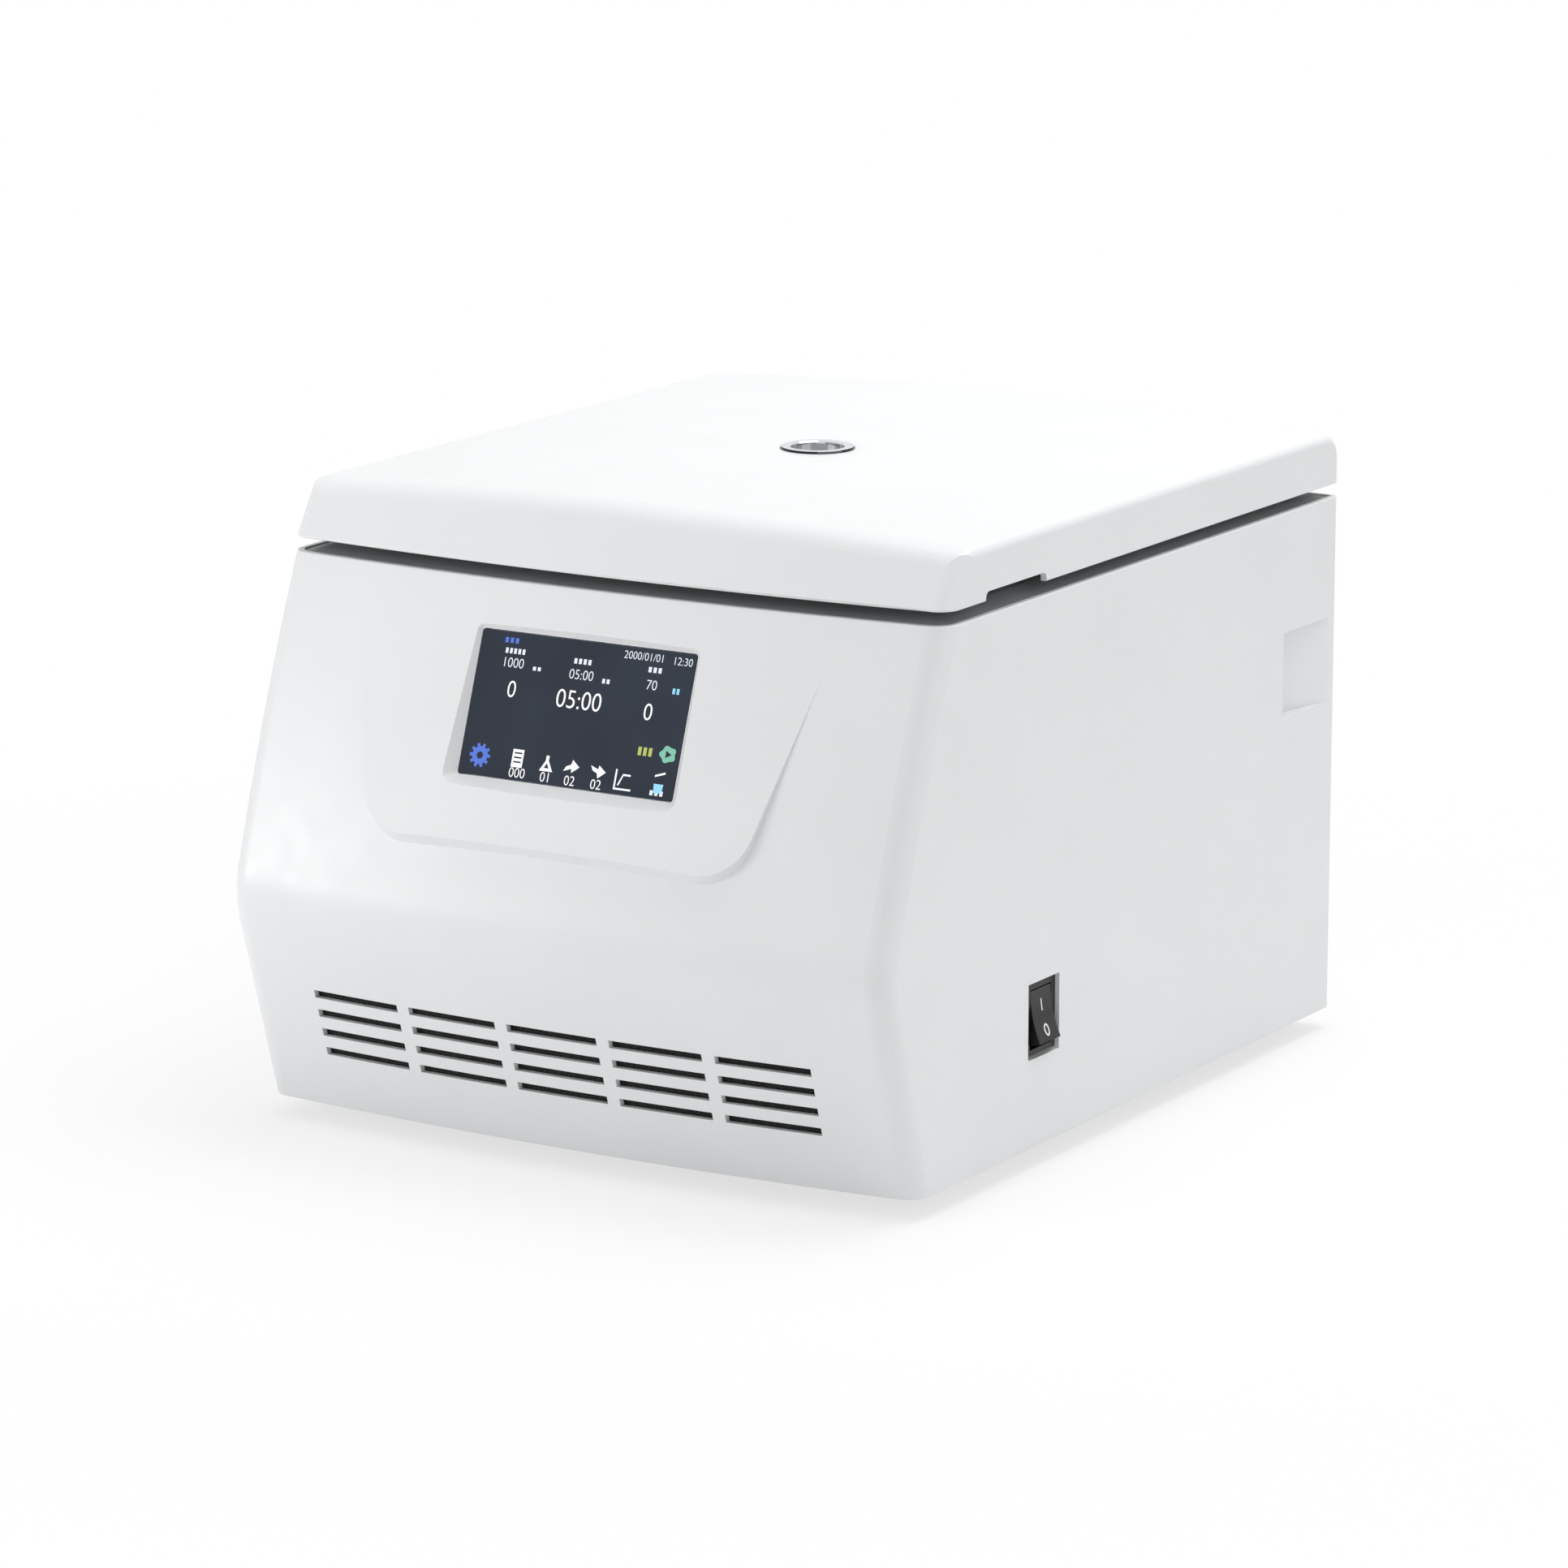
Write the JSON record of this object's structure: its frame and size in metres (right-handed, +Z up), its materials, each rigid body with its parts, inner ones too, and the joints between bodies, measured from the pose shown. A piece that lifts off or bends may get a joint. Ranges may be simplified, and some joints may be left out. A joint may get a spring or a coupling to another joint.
{
  "type": "cytocentrifuge",
  "caption": "Bench cytocentrifuge: bowed white housing with a screen and vents, a hinged lid with a view port over a steel chamber, and a rotor with tilting sample carriers.",
  "frame": {"origin": "middle of the footprint, on the surface that the feet stand on", "axes": "+X to the machine's right as its user faces the front, +Y to the rear, +Z up"},
  "size_m": [0.4092, 0.507, 0.3488],
  "materials": {
    "housing_white": "moulded, fine satin",
    "deck_grey": "moulded, matt",
    "liner_grey": "moulded, matt",
    "stainless": "spun and brushed",
    "zinc_steel": "zinc plated",
    "painted_steel": "light grey powder coat",
    "aluminium": "machined, anodised",
    "cast_aluminium": "die cast",
    "rubber": "moulded",
    "chrome": "polished",
    "clear_pane": "clear",
    "screen_glass": "cover glass over a lit display",
    "display_case": "pressed sheet",
    "board_green": "solder mask",
    "switch_black": "moulded",
    "fan_black": "moulded",
    "filter_foam": "open-cell foam",
    "funnel_white": "moulded polypropylene"
  },
  "bodies": {
    "base": {"housing_shell": "housing_white", "base_plate": "zinc_steel", "feet": "rubber", "foot_screws": "zinc_steel", "rear_panel": "painted_steel", "rear_panel_screws": "zinc_steel", "vent_filter": "filter_foam", "frame_posts": "aluminium", "work_deck": "deck_grey", "deck_screws": "zinc_steel", "lid_buffers": "rubber", "chamber_bowl": "stainless", "chamber_gasket": "rubber", "guard_ring": "zinc_steel", "shaft_seal": "rubber", "motor_dampers": "rubber", "motor_plate": "zinc_steel", "motor_housing": "cast_aluminium", "touchscreen_glass": "screen_glass", "display_module": "display_case", "board_standoffs": "zinc_steel", "control_board": "board_green", "power_board": "board_green", "heat_sink": "aluminium", "switch_body": "switch_black", "power_inlet": "fan_black", "fan_frame": "fan_black", "fan_guard": "chrome", "latch_bracket": "zinc_steel", "latch_solenoid": "zinc_steel", "hinge_brackets": "zinc_steel", "hinge_pins": "stainless"},
    "lid": {"lid_shell": "housing_white", "lid_liner": "liner_grey", "lid_screws": "zinc_steel", "lid_striker": "stainless", "window_ring": "chrome", "window_pane": "clear_pane", "lid_hinge_arms": "zinc_steel"},
    "rotor": {"motor_shaft": "stainless", "rotor_head": "aluminium", "rotor_knob": "switch_black", "carrier_pins": "stainless"},
    "rocker": {"switch_rocker": "switch_black"},
    "fan": {"fan_impeller": "fan_black"},
    "bolt": {"latch_bolt": "stainless"},
    "fuse_tray": {"fuse_drawer": "fan_black"},
    "station_1": {"carrier_1": "stainless", "funnel_1": "funnel_white"},
    "station_2": {"carrier_2": "stainless", "funnel_2": "funnel_white"},
    "station_3": {"carrier_3": "stainless", "funnel_3": "funnel_white"},
    "station_4": {"carrier_4": "stainless", "funnel_4": "funnel_white"},
    "station_5": {"carrier_5": "stainless", "funnel_5": "funnel_white"},
    "station_6": {"carrier_6": "stainless", "funnel_6": "funnel_white"}
  },
  "joints": [
    {"name": "lid_hinge", "type": "hinge", "parent": "base", "child": "lid", "pos_m": [0, 0.245, 0.318], "axis": [-1, 0, 0], "range_deg": [0, 75]},
    {"name": "rotor_spin", "type": "hinge", "parent": "base", "child": "rotor", "pos_m": [0, 0.027, 0.1835], "axis": [0, 0, 1], "continuous": true},
    {"name": "power_rocker", "type": "hinge", "parent": "base", "child": "rocker", "pos_m": [0.1965, -0.0795, 0.0805], "axis": [0, 1, 0], "range_deg": [0, 26]},
    {"name": "latch_slide", "type": "slide", "parent": "base", "child": "bolt", "axis": [1, 0, 0], "range_m": [0, 0.012], "stiffness_N_per_m": 200},
    {"name": "fan_spin", "type": "hinge", "parent": "base", "child": "fan", "pos_m": [-0.095, 0.2375, 0.152], "axis": [0, 1, 0], "continuous": true},
    {"name": "fuse_pull", "type": "slide", "parent": "base", "child": "fuse_tray", "axis": [0, 1, 0], "range_m": [0, 0.012]},
    {"name": "station_1_tilt", "type": "hinge", "parent": "rotor", "child": "station_1", "pos_m": [0, -0.069, 0.2005], "axis": [1, 0, 0], "range_deg": [0, 12]},
    {"name": "station_2_tilt", "type": "hinge", "parent": "rotor", "child": "station_2", "pos_m": [0.08314, -0.021, 0.2005], "axis": [0.5, 0.866, 0], "range_deg": [0, 12]},
    {"name": "station_3_tilt", "type": "hinge", "parent": "rotor", "child": "station_3", "pos_m": [0.08314, 0.075, 0.2005], "axis": [-0.5, 0.866, 0], "range_deg": [0, 12]},
    {"name": "station_4_tilt", "type": "hinge", "parent": "rotor", "child": "station_4", "pos_m": [0, 0.123, 0.2005], "axis": [-1, 0, 0], "range_deg": [0, 12]},
    {"name": "station_5_tilt", "type": "hinge", "parent": "rotor", "child": "station_5", "pos_m": [-0.08314, 0.075, 0.2005], "axis": [-0.5, -0.866, 0], "range_deg": [0, 12]},
    {"name": "station_6_tilt", "type": "hinge", "parent": "rotor", "child": "station_6", "pos_m": [-0.08314, -0.021, 0.2005], "axis": [0.5, -0.866, 0], "range_deg": [0, 12]}
  ],
  "couplings": [
    {"joint": "station_2_tilt", "follows": "station_1_tilt", "ratio": 1},
    {"joint": "station_3_tilt", "follows": "station_1_tilt", "ratio": 1},
    {"joint": "station_4_tilt", "follows": "station_1_tilt", "ratio": 1},
    {"joint": "station_5_tilt", "follows": "station_1_tilt", "ratio": 1},
    {"joint": "station_6_tilt", "follows": "station_1_tilt", "ratio": 1}
  ]
}
